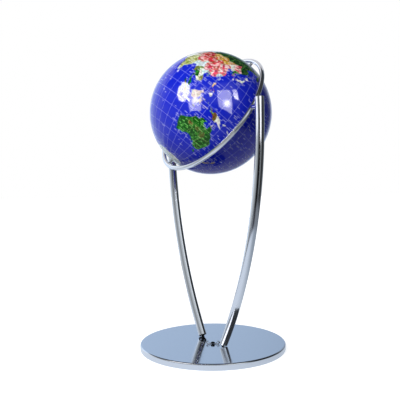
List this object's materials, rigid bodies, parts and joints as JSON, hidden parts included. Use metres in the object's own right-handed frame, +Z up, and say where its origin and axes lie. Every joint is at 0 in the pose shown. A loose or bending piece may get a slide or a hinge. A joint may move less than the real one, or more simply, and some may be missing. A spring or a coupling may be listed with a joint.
{
  "type": "floor globe",
  "caption": "Stone-inlaid world globe turning in a tilting chrome ring, held between curved chrome legs on a round chrome base.",
  "frame": {"origin": "centre of the base disc's underside, on the floor", "axes": "+Z up; X runs through both legs and the ring's two pivots, with the right leg at +X; the globe's north pole leans back towards +Y"},
  "size_m": [0.4516, 0.4, 0.8098],
  "materials": {
    "chrome": "polished chrome plate on steel",
    "dark_steel": "black oxide",
    "blue_stone": "blue stone powder set in resin, inlaid with coloured stone and polished"
  },
  "bodies": {
    "stand": {"base_disc": "chrome", "base_screw": "dark_steel", "foot_link": "chrome", "left_leg": "chrome", "right_leg": "chrome", "left_leg_bolt": "dark_steel", "right_leg_bolt": "dark_steel", "left_pivot_pin": "chrome", "right_pivot_pin": "chrome"},
    "ring": {"gimbal_ring": "chrome", "north_pole_pin": "chrome", "south_pole_pin": "chrome"},
    "ball": {"globe": "blue_stone"}
  },
  "joints": [
    {"name": "ring_tilt", "type": "hinge", "parent": "stand", "child": "ring", "pos_m": [0, 0, 0.645], "axis": [1, 0, 0], "continuous": true},
    {"name": "globe_spin", "type": "hinge", "parent": "ring", "child": "ball", "pos_m": [0, 0, 0.645], "axis": [0.342, 0.5457, 0.765], "continuous": true}
  ]
}
